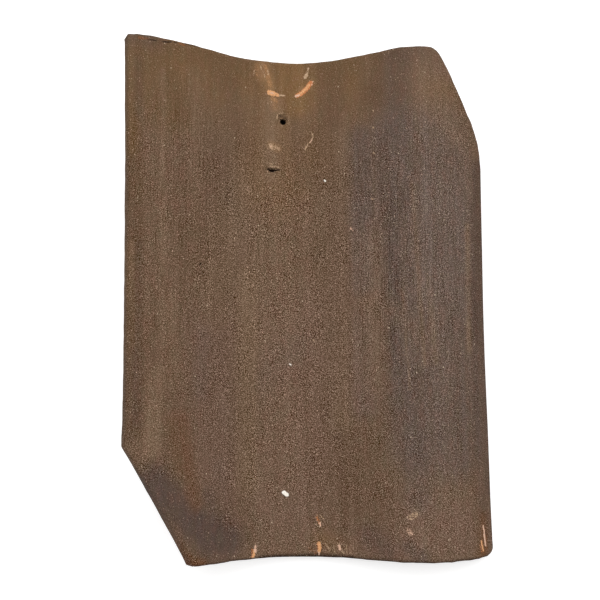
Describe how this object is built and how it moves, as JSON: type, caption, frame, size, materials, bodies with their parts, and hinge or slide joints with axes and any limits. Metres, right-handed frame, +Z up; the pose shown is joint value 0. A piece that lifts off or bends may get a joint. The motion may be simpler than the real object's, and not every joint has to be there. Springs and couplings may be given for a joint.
{
  "type": "clay roof tile",
  "caption": "S-shaped clay pantile with a hollow trough, a roll along one side, two opposite corners cut off, a batten nib under the head and a nail hole.",
  "frame": {"origin": "centre of the base of the bounding box, on the floor that the tile rests on", "axes": "+Y along the tile towards its head, the end with the nib; +X towards the roll; +Z up off the floor, weather face up"},
  "size_m": [0.2364, 0.3474, 0.1036],
  "materials": {
    "fired_clay": "matt brown sandy skin, worn and gritty"
  },
  "bodies": {
    "root": {"roof_tile": "fired_clay"}
  },
  "joints": []
}
